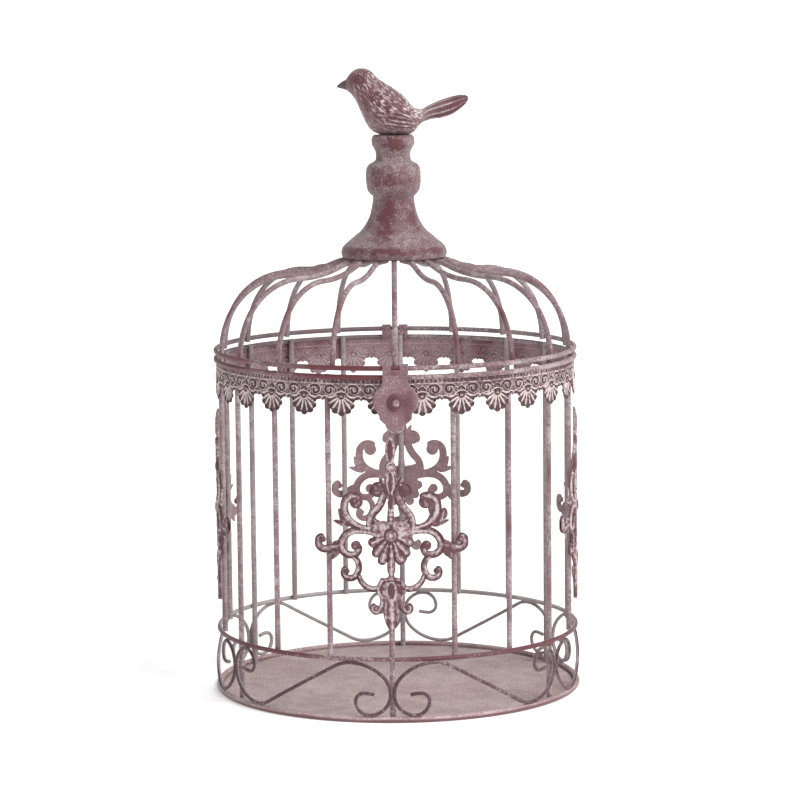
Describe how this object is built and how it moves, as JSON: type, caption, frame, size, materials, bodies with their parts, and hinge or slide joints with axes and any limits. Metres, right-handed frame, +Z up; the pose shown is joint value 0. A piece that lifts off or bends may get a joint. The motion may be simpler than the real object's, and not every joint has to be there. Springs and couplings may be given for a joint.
{
  "type": "wedding card box",
  "caption": "Round wire birdcage card box with a hinged dome lid, a bell finial topped by a bird, a front hasp, a lace band, scroll ornaments and a tray base.",
  "frame": {"origin": "middle of the tray's underside, on the surface the object stands on", "axes": "+Z up along the cage's middle axis, -Y towards the hasp at the front, +X to the right"},
  "size_m": [0.2308, 0.2346, 0.3915],
  "materials": {
    "wire_paint": "distressed mauve paint with a pale dry-brushed wash over a wine-red undercoat",
    "tray_paint": "matte dusty pink paint with fine speckle",
    "mount_paint": "mauve paint, wine-red recesses and chalky raised edges",
    "lace_paint": "grey-mauve paint with chalky raised edges and dark recesses",
    "casting_paint": "cast resin, mauve paint with a granular chalky wash",
    "sheet_paint": "mauve paint worn at the edges",
    "screw_steel": "plain zinc-grey steel"
  },
  "bodies": {
    "cage": {"base_tray": "tray_paint", "gallery_ring": "wire_paint", "s_scroll_1": "wire_paint", "s_scroll_2": "wire_paint", "s_scroll_3": "wire_paint", "s_scroll_4": "wire_paint", "s_scroll_5": "wire_paint", "s_scroll_6": "wire_paint", "long_bar_1": "wire_paint", "long_bar_2": "wire_paint", "long_bar_3": "wire_paint", "long_bar_4": "wire_paint", "long_bar_5": "wire_paint", "long_bar_6": "wire_paint", "short_bar_01": "wire_paint", "short_bar_02": "wire_paint", "short_bar_03": "wire_paint", "short_bar_04": "wire_paint", "short_bar_05": "wire_paint", "short_bar_06": "wire_paint", "short_bar_07": "wire_paint", "short_bar_08": "wire_paint", "short_bar_09": "wire_paint", "short_bar_10": "wire_paint", "short_bar_11": "wire_paint", "short_bar_12": "wire_paint", "body_ring": "wire_paint", "lace_band": "lace_paint", "ornament_front": "mount_paint", "ornament_right": "mount_paint", "ornament_back": "mount_paint", "ornament_left": "mount_paint", "hinge_strap": "sheet_paint"},
    "lid": {"lid_ring": "wire_paint", "dome_rib_01": "wire_paint", "dome_rib_02": "wire_paint", "dome_rib_03": "wire_paint", "dome_rib_04": "wire_paint", "dome_rib_05": "wire_paint", "dome_rib_06": "wire_paint", "dome_rib_07": "wire_paint", "dome_rib_08": "wire_paint", "dome_rib_09": "wire_paint", "dome_rib_10": "wire_paint", "dome_rib_11": "wire_paint", "dome_rib_12": "wire_paint", "dome_rib_13": "wire_paint", "dome_rib_14": "wire_paint", "dome_rib_15": "wire_paint", "dome_rib_16": "wire_paint", "dome_rib_17": "wire_paint", "dome_rib_18": "wire_paint", "hub_disc": "sheet_paint", "finial": "casting_paint", "finial_screw": "screw_steel", "bird": "casting_paint", "bird_pin": "screw_steel"},
    "hasp": {"hasp_plate": "sheet_paint", "hasp_knob": "sheet_paint"}
  },
  "joints": [
    {"name": "lid_hinge", "type": "hinge", "parent": "cage", "child": "lid", "pos_m": [0, 0.11253, 0.2151], "axis": [-1, 0, 0], "range_deg": [0, 110]},
    {"name": "hasp_hinge", "type": "hinge", "parent": "lid", "child": "hasp", "pos_m": [0, -0.11253, 0.2151], "axis": [-1, 0, 0], "range_deg": [0, 120]}
  ]
}
